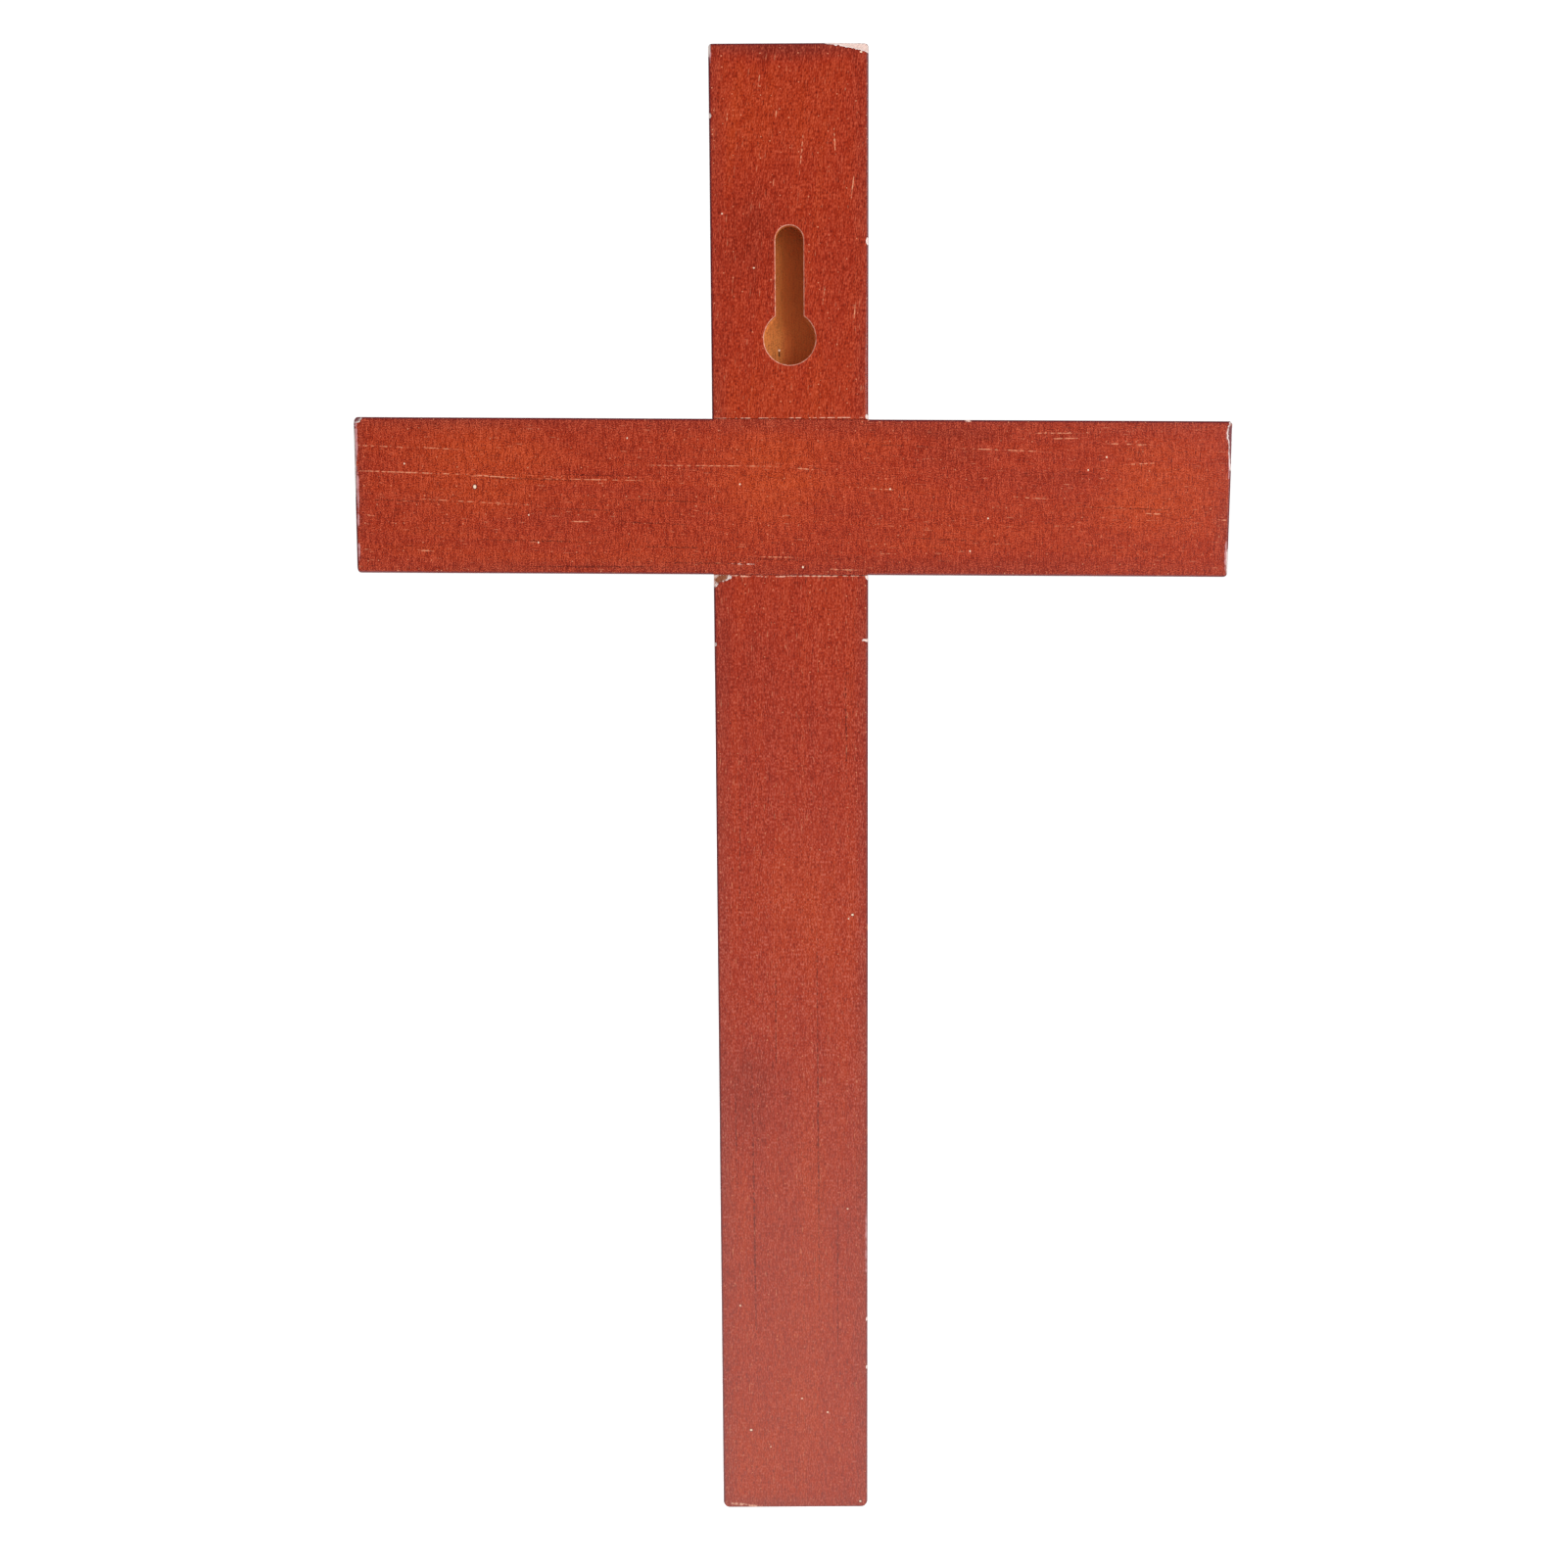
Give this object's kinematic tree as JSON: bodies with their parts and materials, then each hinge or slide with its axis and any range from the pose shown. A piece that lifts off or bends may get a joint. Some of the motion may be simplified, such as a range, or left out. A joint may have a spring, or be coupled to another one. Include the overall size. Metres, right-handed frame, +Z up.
{
  "type": "wooden wall cross",
  "caption": "Plain stained wooden wall cross, seen from its back: two bars in a flush half-lap joint, with a routed keyhole slot to hang it on a screw.",
  "frame": {"origin": "where the shank of the hanging screw sits: the centre of the round top end of the keyhole slot's neck, on the back face", "axes": "+Z up along the upright, +Y out of the back face towards the wall, -Y out of the front, and +X to the viewer's left as the back is seen"},
  "size_m": [0.1506, 0.012, 0.26],
  "materials": {
    "stained_wood": "satin"
  },
  "bodies": {
    "root": {"upright": "stained_wood", "crossbar": "stained_wood"}
  },
  "joints": []
}
